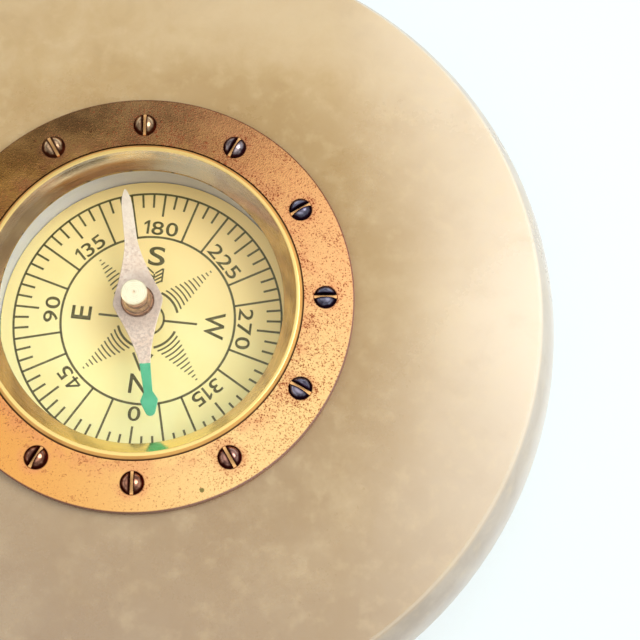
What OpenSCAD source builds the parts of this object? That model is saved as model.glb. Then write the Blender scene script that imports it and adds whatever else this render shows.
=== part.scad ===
// Desk compass: a screwed brass porthole compass set in a round block of onyx.
// The origin is the centre of the felt's underside. +Z is up, and the dial's
// north mark faces -Y.

/* [Stone block] */
// Widest diameter of the stone, half way up its bulging side
stone_d = 101.6; // [96:0.2:120]
// Height of the stone without the felt
stone_h = 20; // [17:0.5:30]
// How far the top and bottom edges stand in from the widest diameter
stone_edge_in = 3; // [1:0.25:6]
// Small bevel along the top and bottom edges
stone_bevel = 0.25; // [0.1:0.05:0.6]
// Thickness of the felt pad under the stone
felt_t = 1; // [0.5:0.1:3]
// Bare rim of stone left outside the felt
felt_inset = 4; // [2:0.5:12]

/* [Crystal rim] */
// Diameter at the foot of the conical mouth
throat_d = 34.2; // [30:0.1:38]
// Depth of the mouth's foot below the plate's top face
throat_depth = 2.2; // [1.8:0.1:3]
// Height of the straight lip under the cone
throat_lip = 0.4; // [0.2:0.05:0.8]
// How much wider the mouth's radius is at the top than at its foot
mouth_flare = 1.5; // [0.8:0.05:2]
// Width of the bead's flat land
bead_land_w = 0.43; // [0.3:0.01:0.8]
// Width of the bead's outer slope
bead_slope_w = 0.42; // [0.2:0.01:0.7]
// Height of the bead above the plate
bead_rise = 0.34; // [0.1:0.02:0.8]
// Thickness of the rim's hidden flange, clamped under the plate
rim_flange_t = 0.8; // [0.5:0.05:1]
// Width of that flange beyond the bead
rim_flange_w = 1.15; // [0.8:0.05:1.4]
// Thickness of the seals under the flange and under the rim
seal_t = 0.3; // [0.2:0.05:0.4]

/* [Bezel plate and screws] */
// Width of the flat bezel plate, from its hole to its outer edge
plate_w = 5.95; // [5:0.05:9]
// Thickness of the bezel plate
plate_t = 1.2; // [1:0.1:2]
// Bevel on the plate's outer top edge
plate_bevel = 0.15; // [0.05:0.05:0.4]
// Number of screws in the ring
screw_count = 12; // [6:1:16]
// Distance from the plate's hole to the middle of the screws
screw_in = 2.5; // [2.2:0.05:3]
// Turn of the screw ring from the dial's axes, in degrees
screw_turn = 6.1; // [0:0.1:30]
// Diameter of a screw's round head
head_d = 2.76; // [2.2:0.02:3.2]
// Height of a screw's round head
head_h = 1.15; // [0.8:0.05:1.3]
// Width of a screw's slot
slot_w = 0.5; // [0.3:0.02:0.6]
// Depth of a screw's slot below the crown of its head
slot_depth = 0.95; // [0.4:0.05:1]
// Diameter of a screw's shank
shank_d = 1.6; // [1.2:0.1:1.8]
// Gap between a screw's end and the stone
screw_end_gap = 0.2; // [0.1:0.05:0.6]

/* [Crystal] */
// Thickness of the glass
crystal_t = 0.8; // [0.6:0.05:0.9]
// Depth of the glass below the plate's top face
crystal_drop = 0.05; // [0:0.05:0.1]

/* [Case] */
// Wall of the brass case
case_wall = 0.7; // [0.5:0.05:1]
// Floor of the brass case
case_floor = 1; // [0.6:0.1:2]
// Thickness of the case's flange, which takes the screws
flange_t = 1.5; // [1.4:0.05:2.5]
// How far the bezel plate covers the stone beyond the flange
flange_cover = 0.6; // [0.4:0.05:1]
// Thickness of the cement that sets the case in the stone
cement_t = 0.8; // [0.4:0.1:2]

/* [Capsule and dial] */
// Gap all round between the white metal capsule and the case
capsule_play = 0.65; // [0.2:0.05:1]
// Wall of the capsule
capsule_wall = 0.5; // [0.3:0.05:0.8]
// Floor of the capsule
capsule_floor = 1; // [0.6:0.1:1.6]
// Depth of the dial's face below the plate's top face
dial_depth = 9.4; // [8.6:0.1:11]
// Thickness of the dial card
dial_t = 0.4; // [0.2:0.05:0.8]
// Thickness of the cork pad under the capsule
pad_t = 1.3; // [1.2:0.1:3]
// Gap in the cork pad round the nut, where the nut stands furthest out
pad_hole_gap = 1.8; // [0.5:0.1:4]

/* [Pivot] */
// How far the pivot stands off the dial's centre, along X
pivot_x = -0.9; // [-1.2:0.05:1.2]
// How far the pivot stands off the dial's centre, along Y
pivot_y = 1; // [-1.2:0.05:1.2]
// Diameter of the brass post
post_d = 1.8; // [1.4:0.1:2.2]
// Diameter of the post's foot, which clamps the dial
post_foot_d = 3.6; // [2.8:0.1:4.4]
// Thickness of the post's foot
post_foot_t = 0.4; // [0.2:0.05:0.6]
// Diameter of the threaded stem below the post
stem_d = 1.4; // [1:0.1:1.6]
// Diameter of the steel pin
pin_d = 0.7; // [0.5:0.05:0.9]
// Width of the hexagonal nut under the capsule, across its flats
nut_af = 3.2; // [2.8:0.1:4]
// Thickness of the nut
nut_t = 0.7; // [0.5:0.05:0.8]
// Thickness of the washer between the nut and the capsule
washer_t = 0.2; // [0.1:0.05:0.25]

/* [Needle] */
// Height of the needle's underside above the dial
needle_lift = 3.9; // [3:0.1:4.2]
// Thickness of the needle
needle_t = 0.35; // [0.2:0.05:0.5]
// Turn of the needle's north end from the dial's north mark, in degrees
needle_turn = 14.3; // [-180:0.1:180]
// Gap between the south tip and the mouth's foot, where they pass closest
tip_gap = 0.95; // [0.5:0.05:4]
// How much shorter the painted north arm is than the plain south arm
north_short = 0.4; // [0:0.1:2]
// Width of the needle across its hub
hub_w = 6.1; // [5:0.1:7]
// Distance from the pivot over which the hub draws in to the arms
hub_reach = 7.6; // [6:0.2:9]
// How softly the hub is rounded where it is widest
hub_round = 0.6; // [0.2:0.1:1.5]
// Width of the arms where they leave the hub
arm_w = 1.9; // [1.4:0.05:2.4]
// Width of the south arm where its pointed tip begins
south_tip_w = 1.35; // [0.9:0.05:1.6]
// Length of the south arm's pointed tip
south_tip_len = 2.6; // [1.5:0.1:4]
// Width of the north arm at its neck, just before the spade
neck_w = 1.05; // [0.8:0.05:1.4]
// Width of the spade on the north arm
spade_w = 2.1; // [1.6:0.05:3]
// Length of the spade
spade_len = 3; // [2.4:0.1:3.6]

/* [Needle cap] */
// Gap between the top of the cap and the glass
cap_gap = 0.45; // [0.3:0.05:1]
// Diameter of the hollow inside the cap
cap_bore_d = 2; // [1.7:0.05:2.4]
// Wall of the cap at its waist
cap_wall = 0.4; // [0.3:0.05:0.6]
// How far the cap's flat top stands out beyond the waist
cap_lip = 0.175; // [0.05:0.025:0.4]
// How far the cap's foot stands out beyond the waist
cap_foot_w = 0.4; // [0.2:0.05:0.6]
// Thickness of the cap's top, above the waist
cap_head_t = 0.9; // [0.6:0.05:1.1]
// How far the copper collar stands out beyond the cap's foot
collar_w = 0.25; // [0.15:0.05:0.6]
// Thickness of the collar
collar_t = 0.45; // [0.3:0.05:0.6]
// Thickness of the jewel
jewel_t = 0.6; // [0.5:0.05:0.8]

/* [Hidden] */
$fn = 96;
eps = 0.01;
bead_break = 0.035; // where the bead's land turns down to its slope

// Fits
slip = 0.1;       // radial gap of a part dropped in its seat
screw_fit = 0.05; // radial gap round a screw
press_fit = 0.01; // radial gap of a part pressed home
pin_play = 0.05;  // gap between the pin's point and the jewel

// Levels
stone_top = felt_t + stone_h;
plate_top = stone_top + plate_t;
dial_top = plate_top - dial_depth;
dial_under = dial_top - dial_t;
capsule_under = dial_under - capsule_floor;
case_inside = capsule_under - pad_t;
case_under = case_inside - case_floor;
throat_z = plate_top - throat_depth;
rim_under = throat_z - throat_lip;
rim_flange_under = stone_top - rim_flange_t;
capsule_top = rim_under - seal_t;
crystal_top = plate_top - crystal_drop;
crystal_under = crystal_top - crystal_t;
blade_under = dial_top + needle_lift;
blade_top = blade_under + needle_t;
cap_top = crystal_under - cap_gap;

// Radii
throat_r = throat_d / 2;
mouth_r = throat_r + mouth_flare;
mouth_z = plate_top + bead_rise * 0.75; // the cone ends a little below the bead's land
bead_r = mouth_r + bead_land_w + bead_slope_w;
rim_flange_r = bead_r + rim_flange_w;
case_bore_r = bead_r + slip;
case_r = case_bore_r + case_wall;
plate_hole_r = bead_r + slip;
plate_r = plate_hole_r + plate_w;
screw_ring_r = plate_hole_r + screw_in;
flange_r = plate_r - flange_cover;
capsule_out_r = case_bore_r - capsule_play;
capsule_r = capsule_out_r - capsule_wall;
head_r = head_d / 2;
pin_r = pin_d / 2;
bore_r = cap_bore_d / 2;
waist_r = bore_r + cap_wall;
cap_r = waist_r + cap_lip;
cap_foot_r = waist_r + cap_foot_w;
collar_r = cap_foot_r + collar_w;
blade_hole_r = bore_r + cap_wall / 2;
pivot_off = norm([pivot_x, pivot_y]);
pad_hole_r = nut_af / sqrt(3) + pivot_off + pad_hole_gap;

// Arms of the needle, from the pivot
south_len = throat_r - tip_gap - pivot_off;
north_len = south_len - north_short;

// Outline of the needle
hub_curve = 1.55;  // how hollow the hub's flanks are
leaf_curve = 0.7;  // how blunt the south tip is
tip_flat = 0.06;   // half width of the flat at the very tip
shoulder_r = 0.55; // rounding of the spade's shoulders
shoulder_in = spade_len * 0.62; // from the north tip to the shoulders
spade_tip_r = spade_w * 0.29;   // rounding of the north tip
arm_steps = 18;
tip_steps = 8;

// The cap's stack, from the top of its hollow down
cap_roof_t = 0.75;
jewel_top = cap_top - cap_roof_t;
jewel_under = jewel_top - jewel_t;
jewel_pit = jewel_t * 0.6;
pin_tip = jewel_under + jewel_pit - pin_play;
rivet_h = 0.3;
rivet_w = 0.15;
rivet_r = blade_hole_r + rivet_w;
rivet_gap = 0.5;      // from the rivet to the post
post_top = blade_under - rivet_h - rivet_gap;
socket_floor = 0.6;   // from the post's foot to the pin
socket_z = dial_top + post_foot_t + socket_floor;
stem_proud = 0.1;     // of the stem below its nut
point_taper = 1.2;    // length of the pin's point, in diameters
washer_w = 0.3;       // of the washer beyond the nut

// Turned shape of the cap
cap_bevel = 0.12;
dimple_r = 0.14;
foot_band = 0.5;      // height of the foot's side
foot_h = 1.1;         // height at which the foot meets the waist
foot_draft = 0.05;
head_slope = 0.3;     // height over which the head stands out

// Radius of the conical mouth at a height
function mouth_at(z) = throat_r + (mouth_r - throat_r) * (z - throat_z) / (mouth_z - throat_z);

// A ring or disc with a square section
module ring(outer_r, inner_r, low, high) {
    translate([0, 0, low])
        difference() {
            cylinder(r = outer_r, h = high - low);
            translate([0, 0, -eps]) cylinder(r = inner_r, h = high - low + 2 * eps);
        }
}

// A drilled hole, a little longer than the metal it goes through
module hole(r, low, high) {
    translate([0, 0, low - eps]) cylinder(r = r, h = high - low + 2 * eps);
}

module each_screw() {
    for (i = [0 : screw_count - 1])
        rotate([0, 0, screw_turn + i * 360 / screw_count])
            translate([screw_ring_r, 0, 0]) children();
}

module at_pivot() {
    translate([pivot_x, pivot_y, 0]) children();
}

// Stone: a disc with a bulging side, bored and stepped for the case
module stone_base() {
    half = stone_h / 2 - stone_bevel;
    edge_r = stone_d / 2 - stone_edge_in;
    side_r = (half * half + stone_edge_in * stone_edge_in) / (2 * stone_edge_in);
    color("burlywood")
    difference() {
        translate([0, 0, felt_t + stone_h / 2])
        rotate_extrude($fn = 180) {
            polygon([[0, -stone_h / 2], [edge_r - stone_bevel, -stone_h / 2], [edge_r, -half],
                     [edge_r, half], [edge_r - stone_bevel, stone_h / 2], [0, stone_h / 2]]);
            intersection() {
                translate([stone_d / 2 - side_r, 0]) circle(r = side_r, $fn = 360);
                translate([edge_r - 1, -half]) square([stone_edge_in + 2, 2 * half]);
            }
        }
        hole(case_r + cement_t, case_under - cement_t + eps, stone_top);
        hole(flange_r + slip, stone_top - flange_t + eps, stone_top);
    }
}

module felt_pad() {
    color("darkolivegreen")
    cylinder(r = stone_d / 2 - stone_edge_in - felt_inset, h = felt_t);
}

// Cement that beds the case in the stone
module setting_cement() {
    color("gainsboro")
    translate([0, 0, case_under - cement_t])
    difference() {
        cylinder(r = case_r + cement_t, h = stone_top - flange_t - case_under + cement_t);
        translate([0, 0, cement_t])
            cylinder(r = case_r, h = stone_top - flange_t - case_under + eps);
    }
}

// Brass case: a deep pan with a flange that takes the screws
module case_cup() {
    color("goldenrod")
    difference() {
        union() {
            translate([0, 0, case_under]) cylinder(r = case_r, h = stone_top - case_under);
            ring(flange_r, case_bore_r, stone_top - flange_t, stone_top);
        }
        hole(case_bore_r, case_inside + eps, stone_top);
        hole(rim_flange_r + slip, rim_flange_under - seal_t + eps, stone_top);
        each_screw() hole(shank_d / 2 + screw_fit, stone_top - flange_t, stone_top);
    }
}

// Flat bezel plate with a bevelled outer edge
module bezel_plate() {
    color("peru")
    difference() {
        translate([0, 0, stone_top])
        rotate_extrude()
            polygon([[plate_hole_r, 0], [plate_r, 0], [plate_r, plate_t - plate_bevel],
                     [plate_r - plate_bevel, plate_t], [plate_hole_r, plate_t]]);
        each_screw() hole(shank_d / 2 + screw_fit, stone_top, plate_top);
    }
}

// Round-headed, slotted screws with their slots in line with the centre
module bezel_screws() {
    dome_r = (head_r * head_r + head_h * head_h) / (2 * head_h);
    shank_len = plate_t + flange_t - screw_end_gap;
    color("saddlebrown")
    each_screw()
    difference() {
        union() {
            intersection() {
                translate([0, 0, plate_top + head_h - dome_r]) sphere(r = dome_r, $fn = 48);
                translate([0, 0, plate_top]) cylinder(r = dome_r, h = head_h + eps, $fn = 48);
            }
            translate([0, 0, plate_top - shank_len])
                cylinder(r = shank_d / 2, h = shank_len + eps, $fn = 32);
        }
        translate([-head_d, -slot_w / 2, plate_top + head_h - slot_depth])
            cube([2 * head_d, slot_w, head_h]);
    }
}

// Polished rim: the raised bead, the conical mouth and a hidden flange
module crystal_rim() {
    color("gold")
    rotate_extrude()
        polygon([[throat_r, rim_under], [bead_r, rim_under],
                 [bead_r, rim_flange_under], [rim_flange_r, rim_flange_under],
                 [rim_flange_r, stone_top], [bead_r, stone_top],
                 [bead_r, plate_top - slip],
                 [bead_r - bead_slope_w, plate_top + bead_rise - bead_break],
                 [bead_r - bead_slope_w - slip, plate_top + bead_rise],
                 [mouth_r + slip, plate_top + bead_rise],
                 [mouth_r, mouth_z], [throat_r, throat_z]]);
}

// Flat glass with a bevelled edge that seats in the conical mouth
module crystal() {
    color("azure", 0.3)
    rotate_extrude()
        polygon([[0, crystal_under], [mouth_at(crystal_under) - press_fit, crystal_under],
                 [mouth_at(crystal_top) - press_fit, crystal_top], [0, crystal_top]]);
}

// Seal under the rim's flange
module rim_seal() {
    color("dimgray")
    ring(rim_flange_r, case_bore_r, rim_flange_under - seal_t, rim_flange_under);
}

// Seal between the rim and the capsule
module capsule_seal() {
    color("dimgray")
    ring(capsule_out_r, capsule_r, capsule_top, rim_under);
}

// White metal capsule that holds the dial and the pivot
module capsule_cup() {
    color("whitesmoke")
    difference() {
        translate([0, 0, capsule_under])
            cylinder(r = capsule_out_r, h = capsule_top - capsule_under);
        hole(capsule_r, dial_under + eps, capsule_top);
        at_pivot() hole(stem_d / 2 + screw_fit, capsule_under, dial_under);
    }
}

module dial_card() {
    color("khaki")
    difference() {
        translate([0, 0, dial_under]) cylinder(r = capsule_r - slip, h = dial_t);
        at_pivot() hole(stem_d / 2 + screw_fit, dial_under, dial_top);
    }
}

// Cork pad between the capsule and the case
module cork_pad() {
    color("tan")
    ring(capsule_out_r, pad_hole_r, case_inside, capsule_under);
}

// Brass post: a stem through the dial, a foot on it, and a socket for the pin
module pivot_post() {
    stem_low = capsule_under - washer_t - nut_t - stem_proud;
    color("goldenrod")
    at_pivot()
    difference() {
        union() {
            translate([0, 0, stem_low]) cylinder(r = stem_d / 2, h = dial_top - stem_low + eps);
            translate([0, 0, dial_top]) cylinder(r = post_foot_d / 2, h = post_foot_t);
            translate([0, 0, dial_top]) cylinder(r = post_d / 2, h = post_top - dial_top);
        }
        hole(pin_r + press_fit, socket_z, post_top);
    }
}

// Steel pin with a sharp point
module pivot_pin() {
    point_h = pin_d * point_taper;
    color("lightsteelblue")
    at_pivot()
    rotate_extrude($fn = 48)
        polygon([[0, socket_z], [pin_r, socket_z], [pin_r, pin_tip - point_h], [0, pin_tip]]);
}

module post_washer() {
    color("silver")
    at_pivot()
    ring(nut_af / 2 + washer_w, stem_d / 2 + screw_fit, capsule_under - washer_t, capsule_under);
}

module post_nut() {
    nut_high = capsule_under - washer_t;
    color("darkgoldenrod")
    at_pivot()
    difference() {
        translate([0, 0, nut_high - nut_t]) cylinder(r = nut_af / sqrt(3), h = nut_t, $fn = 6);
        hole(stem_d / 2 + screw_fit, nut_high - nut_t, nut_high);
    }
}

// Everything that turns on the pin, with the north arm along -Y before the turn
module on_needle() {
    at_pivot() rotate([0, 0, needle_turn]) children();
}

// Half width of an arm at a distance d from the pivot: a straight taper from
// arm_w to end_w, with the hub's flare added
function arm_half(d, last, end_w) =
    (arm_w + (end_w - arm_w) * d / last) / 2
    + (hub_w - arm_w) / 2 * pow(max(0, 1 - hub_draw(d) / hub_reach), hub_curve);
function hub_draw(d) = sqrt(d * d + hub_round * hub_round) - hub_round;

// Points down one side of an arm, from the pivot outwards
function arm_side(last, end_w) =
    [for (i = [0 : arm_steps]) let (d = last * pow(i / arm_steps, 1.3)) [arm_half(d, last, end_w), d]];

// The south arm ends in a point, drawn in like the end of a leaf
function south_side(start) =
    concat(arm_side(start, south_tip_w),
           [for (i = [1 : tip_steps]) let (t = i / tip_steps)
               [max(tip_flat, south_tip_w / 2 * pow(1 - t * t, leaf_curve)),
                start + south_tip_len * t]]);

// The north arm ends in a spade: its neck, its round shoulder and its blunt tip
function north_side(neck, shoulder, tip_r) =
    concat(arm_side(neck, neck_w),
           [for (a = [-40 : 15 : 20])
               [spade_w / 2 - shoulder_r + shoulder_r * cos(a), shoulder + shoulder_r * sin(a)]],
           [for (a = [20 : 14 : 90]) [tip_r * cos(a), north_len - tip_r + tip_r * sin(a)]]);

function reversed(list) = [for (i = [len(list) - 1 : -1 : 0]) list[i]];
function flipped(list, sx, sy) = [for (p = list) [sx * p[0], sy * p[1]]];

module needle_blade() {
    south = south_side(south_len - south_tip_len);
    north = north_side(north_len - spade_len, north_len - shoulder_in, spade_tip_r);
    color("rosybrown")
    translate([0, 0, blade_under])
    on_needle()
    difference() {
        linear_extrude(needle_t)
            polygon(concat(south, reversed(flipped(south, -1, 1)),
                           flipped(north, -1, -1), reversed(flipped(north, 1, -1))));
        translate([0, 0, -eps]) cylinder(r = blade_hole_r, h = needle_t + 2 * eps, $fn = 48);
    }
}

// Copper collar between the needle and the cap
module cap_collar() {
    color("sandybrown")
    on_needle()
    translate([0, 0, blade_top])
    rotate_extrude($fn = 64)
        polygon([[blade_hole_r, 0], [collar_r, 0], [collar_r, collar_t * 0.5],
                 [cap_foot_r, collar_t], [blade_hole_r, collar_t]]);
}

// Turned brass cap, hollow underneath, with its tail riveted under the needle
module needle_cap() {
    foot_z = blade_top + collar_t;
    head_z = cap_top - cap_head_t;
    color("darkkhaki")
    on_needle()
    rotate_extrude($fn = 64)
        polygon([[bore_r, blade_under - rivet_h], [rivet_r, blade_under - rivet_h],
                 [rivet_r, blade_under], [blade_hole_r, blade_under],
                 [blade_hole_r, foot_z], [cap_foot_r, foot_z],
                 [cap_foot_r - foot_draft, foot_z + foot_band], [waist_r, foot_z + foot_h],
                 [waist_r, head_z], [cap_r, head_z + head_slope],
                 [cap_r, cap_top - cap_bevel], [cap_r - cap_bevel, cap_top],
                 [dimple_r, cap_top], [0, cap_top - dimple_r],
                 [0, jewel_top], [bore_r, jewel_top]]);
}

// Cup jewel that rides on the pin's point
module cap_jewel() {
    color("crimson")
    on_needle()
    translate([0, 0, jewel_under])
    rotate_extrude($fn = 64)
        polygon([[jewel_pit * 0.9, 0], [bore_r - press_fit, 0], [bore_r - press_fit, jewel_t],
                 [0, jewel_t], [0, jewel_pit]]);
}

stone_base();
felt_pad();
setting_cement();
case_cup();
bezel_plate();
bezel_screws();
crystal_rim();
crystal();
rim_seal();
capsule_seal();
capsule_cup();
dial_card();
cork_pad();
pivot_post();
pivot_pin();
post_washer();
post_nut();
needle_blade();
needle_cap();
cap_collar();
cap_jewel();
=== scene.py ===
"""A desk compass: a stone block with a screwed copper bezel, a glazed dial and a free needle."""
import math

import bmesh
import bpy
from mathutils import Matrix, Vector

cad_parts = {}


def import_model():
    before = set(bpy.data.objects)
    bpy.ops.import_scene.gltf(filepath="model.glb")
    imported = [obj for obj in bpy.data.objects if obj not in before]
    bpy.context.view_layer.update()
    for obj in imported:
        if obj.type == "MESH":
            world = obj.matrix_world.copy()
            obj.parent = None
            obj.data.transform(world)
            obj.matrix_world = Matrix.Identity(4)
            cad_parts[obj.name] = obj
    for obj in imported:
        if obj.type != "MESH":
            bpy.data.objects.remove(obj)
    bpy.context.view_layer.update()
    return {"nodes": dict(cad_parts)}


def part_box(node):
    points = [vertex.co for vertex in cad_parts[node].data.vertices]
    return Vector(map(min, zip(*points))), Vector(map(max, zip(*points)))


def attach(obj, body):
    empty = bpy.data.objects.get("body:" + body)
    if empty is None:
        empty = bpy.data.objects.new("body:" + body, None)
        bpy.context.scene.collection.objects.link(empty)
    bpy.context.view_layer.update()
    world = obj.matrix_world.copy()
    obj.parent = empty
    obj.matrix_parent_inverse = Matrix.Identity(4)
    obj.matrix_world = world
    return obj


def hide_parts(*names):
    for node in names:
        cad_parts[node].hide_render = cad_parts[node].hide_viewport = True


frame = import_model()

MM = 0.001
TURN = 2 * math.pi

# ---- where things are, most from the imported solids ------------------------------------------


def middle(node):
    """The centre of a node's box."""
    low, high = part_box(node)
    return (Vector(low) + Vector(high)) / 2


def top_of(node):
    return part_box(node)[1][2]


def half_width(node):
    low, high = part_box(node)
    return (high[0] - low[0]) / 2


PLATE = middle("bezel_plate")
PLATE_TOP = top_of("bezel_plate")
PLATE_R = half_width("bezel_plate")
FLANGE_W = 1.15 * MM  # the rim's hidden flange, beyond the bead that shows
BEAD_R = half_width("crystal_rim") - FLANGE_W
SLOPE_R = BEAD_R - 0.42 * MM  # inside the bead the rim slopes down,
MOUTH_R = SLOPE_R - 0.43 * MM  # then comes a flat land, then the conical mouth
THROAT_DEPTH = 2.2 * MM
STONE_R = half_width("stone_base")
DIAL = middle("dial_card")
DIAL_TOP = top_of("dial_card")
DIAL_R = half_width("dial_card")
PIVOT = middle("cap_jewel")
CAP_TOP = top_of("needle_cap")
COLLAR_R = half_width("cap_collar")

# the screws: their circle, the first one's turn, their spacing, and the parts of a head
SCREW_ORBIT = 22.05 * MM
SCREW_TURN = math.radians(6.1)
SCREW_STEP = math.radians(30)
SCREW_H = top_of("bezel_screws") - PLATE_TOP
SLOT_FLOOR = SCREW_H - 0.95 * MM
HEAD_EDGE = 1.35 * MM  # from the screw's axis to where the painted shadow at its foot is fullest,
FOOT_SHADOW_END = 1.52 * MM  # and to where it ends

NEEDLE_TURN = math.radians(14.3)
PAINT_START = 7.80 * MM  # along the north arm, from the pivot
PAINT_FULL = 7.90 * MM
ARRIS_R = 47.8 * MM  # where the stone's flat top ends


# ---- short calls that add shader nodes ------------------------------------------------------


def srgb(r, g, b):
    """A colour as a picture shows it, 0 to 255, in the linear numbers that a shader takes."""
    def line(c):
        c /= 255
        return c / 12.92 if c <= 0.04045 else ((c + 0.055) / 1.055) ** 2.4
    return (line(r), line(g), line(b), 1.0)


class Nodes:
    """Short calls that add nodes to one tree."""

    def __init__(self, tree):
        self.tree = tree

    def join(self, socket, value):
        """Links an output to a socket, or sets a plain value. None leaves the socket alone."""
        if isinstance(value, bpy.types.NodeSocket):
            self.tree.links.new(value, socket)
        elif value is not None:
            socket.default_value = value

    def node(self, kind, values=(), **facts):
        """A new node: values go to its sockets, by name or place, and facts are its settings."""
        made = self.tree.nodes.new(kind)
        for fact, value in facts.items():
            setattr(made, fact, value)
        for key, value in dict(values).items():
            self.join(made.inputs[key], value)
        return made

    def maths(self, how, a, b=None, c=None):
        return self.node("ShaderNodeMath", {0: a, 1: b, 2: c}, operation=how).outputs[0]

    def times(self, a, b):
        return self.maths("MULTIPLY", a, b)

    def plus(self, a, b):
        return self.maths("ADD", a, b)

    def larger(self, a, b):
        return self.maths("MAXIMUM", a, b)

    def span(self, value, low, high, start=0.0, end=1.0, smooth=True):
        """value from low to high, as start to end."""
        kind = "SMOOTHSTEP" if smooth else "LINEAR"
        values = {0: value, 1: low, 2: high, 3: start, 4: end}
        return self.node("ShaderNodeMapRange", values, interpolation_type=kind).outputs[0]

    def swing(self, noise, start, end):
        """A noise over most of its range, as start to end."""
        return self.span(noise, 0.3, 0.7, start, end)

    def where_seen(self, pale, other, part):
        """other, but part of it gives way to pale for the camera, metal and glass."""
        ray = self.node("ShaderNodeLightPath").outputs
        mirrored = self.larger(ray["Is Glossy Ray"], ray["Is Transmission Ray"])
        seen = self.larger(ray["Is Camera Ray"], mirrored)
        share = self.times(seen, part)
        return self.node("ShaderNodeMixShader", {0: share, 1: other, 2: pale}).outputs[0]


class Look(Nodes):
    """One procedural material."""

    def __init__(self, name, **plain):
        self.material = bpy.data.materials.new(name)
        self.material.use_nodes = True
        super().__init__(self.material.node_tree)
        self.shader = self.tree.nodes["Principled BSDF"]
        self.place = self.node("ShaderNodeTexCoord").outputs["Object"]
        for socket, value in plain.items():
            self.set(socket.replace("_", " "), value)

    def set(self, name, value):
        self.join(self.shader.inputs[name], value)

    def noise(self, scale, detail=3.0, rough=0.5, twist=0.0, at=None):
        values = {"Vector": at or self.place, "Scale": scale, "Detail": detail,
                  "Roughness": rough, "Distortion": twist}
        return self.node("ShaderNodeTexNoise", values).outputs[0]

    def cells(self, scale):
        return self.node("ShaderNodeTexVoronoi", {"Vector": self.place, "Scale": scale}).outputs[0]

    def mix(self, part, a, b):
        return self.node("ShaderNodeMix", {0: part, 6: a, 7: b}, data_type="RGBA").outputs[2]

    def ramp(self, value, *stops):
        made = self.node("ShaderNodeValToRGB", {0: value})
        line = made.color_ramp.elements
        while len(line) < len(stops):
            line.new(0.5)
        for element, (at, colour) in zip(line, stops):
            element.position = at
            element.color = colour
        return made.outputs[0]

    def shifted(self, centre, stretch=(1, 1, 1)):
        """The place measured from centre, stretched."""
        moved = self.node("ShaderNodeVectorMath", {0: self.place, 1: tuple(centre)},
                          operation="SUBTRACT").outputs[0]
        return self.node("ShaderNodeVectorMath", {0: moved, 1: stretch},
                         operation="MULTIPLY").outputs[0]

    def parts(self, vector):
        return self.node("ShaderNodeSeparateXYZ", {0: vector}).outputs

    def joined(self, x, y, z):
        return self.node("ShaderNodeCombineXYZ", {0: x, 1: y, 2: z}).outputs[0]

    def radius(self, centre=(0, 0, 0)):
        """Distance from the upright axis through centre."""
        flat = self.shifted(centre, (1, 1, 0))
        return self.node("ShaderNodeVectorMath", {0: flat}, operation="LENGTH").outputs["Value"]

    def angle(self, centre=(0, 0, 0)):
        x, y, _ = self.parts(self.shifted(centre))
        return self.maths("ARCTAN2", y, x)

    def turned(self, scale, centre=(0, 0, 0), detail=2.0):
        """Rings that a lathe leaves round the axis through centre."""
        height = self.parts(self.place)[2]
        return self.noise(scale, detail, at=self.joined(self.radius(centre), 0.0, height))

    def toward(self, direction, near, far, most=1.0, smooth=True):
        """0 to most along a level direction, from near to far metres past the middle."""
        x, y, _ = self.parts(self.place)
        along = self.plus(self.times(x, direction[0]), self.times(y, direction[1]))
        return self.span(along, near, far, 0.0, most, smooth=smooth)

    def bump(self, *layers):
        """layers are (height, strength, depth in metres), the coarsest first."""
        normal = None
        for height, strength, depth in layers:
            values = {"Height": height, "Strength": strength, "Distance": depth, "Normal": normal}
            normal = self.node("ShaderNodeBump", values).outputs[0]
        self.set("Normal", normal)


# ---- materials ------------------------------------------------------------------------------


PALE_END = (0.98, 0.12)  # the stone is painted palest this way, as lit from this side
GREY_END = (-0.25, -0.97)  # and greyest this way, partly its own tone and partly painted shade


def stone_clouds(look, cloud, mottle, drift):
    """The stone's own colour: slow clouds, mottling and drifting bands."""
    colour = look.ramp(cloud, (0.30, srgb(189, 160, 112)), (0.5, srgb(194, 166, 119)),
                       (0.72, srgb(199, 172, 127)))
    colour = look.mix(look.span(mottle, 0.38, 0.68, 0.0, 0.35), colour, srgb(212, 190, 150))
    colour = look.mix(look.span(mottle, 0.44, 0.26, 0.0, 0.30), colour, srgb(168, 138, 98))
    colour = look.mix(look.span(drift, 0.5, 0.7, 0.0, 0.35), colour, srgb(180, 150, 104))
    return look.mix(look.span(drift, 0.5, 0.3, 0.0, 0.35), colour, srgb(210, 188, 146))


def stone_glow(look, colour, cloud, grey):
    """Paler outward and at the pale end as painted light, browner beside the plate as painted
    shade, greyer at the grey end partly as painted shade.
    """
    r = look.radius()
    # paler outward: painted light, as if coming through the stone's thin edge
    outward = look.plus(r, look.swing(cloud, -0.003, 0.003))
    colour = look.mix(look.span(outward, 0.030, 0.050, 0.0, 0.2), colour, srgb(222, 204, 172))
    # paler toward the pale end: painted light from that side, along with the stone's own paler
    # banding
    pale = look.plus(look.toward(PALE_END, 0.023, 0.054, smooth=False),
                     look.swing(cloud, -0.06, 0.06))
    pale = look.span(pale, 0.0, 0.9, 0.0, 1.0, smooth=False)
    colour = look.mix(pale, colour, srgb(244, 230, 208))
    # browner beside the plate: painted shade
    near = look.times(look.span(r, 0.026, 0.039, 0.55, 0.0),
                      look.toward(PALE_END, -0.010, 0.020))
    colour = look.mix(near, colour, srgb(162, 131, 80))
    # greyer and darker toward the grey end: partly the stone's own tone, partly painted shade
    return look.mix(look.times(grey, 0.9), colour, srgb(160, 138, 116))


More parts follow.
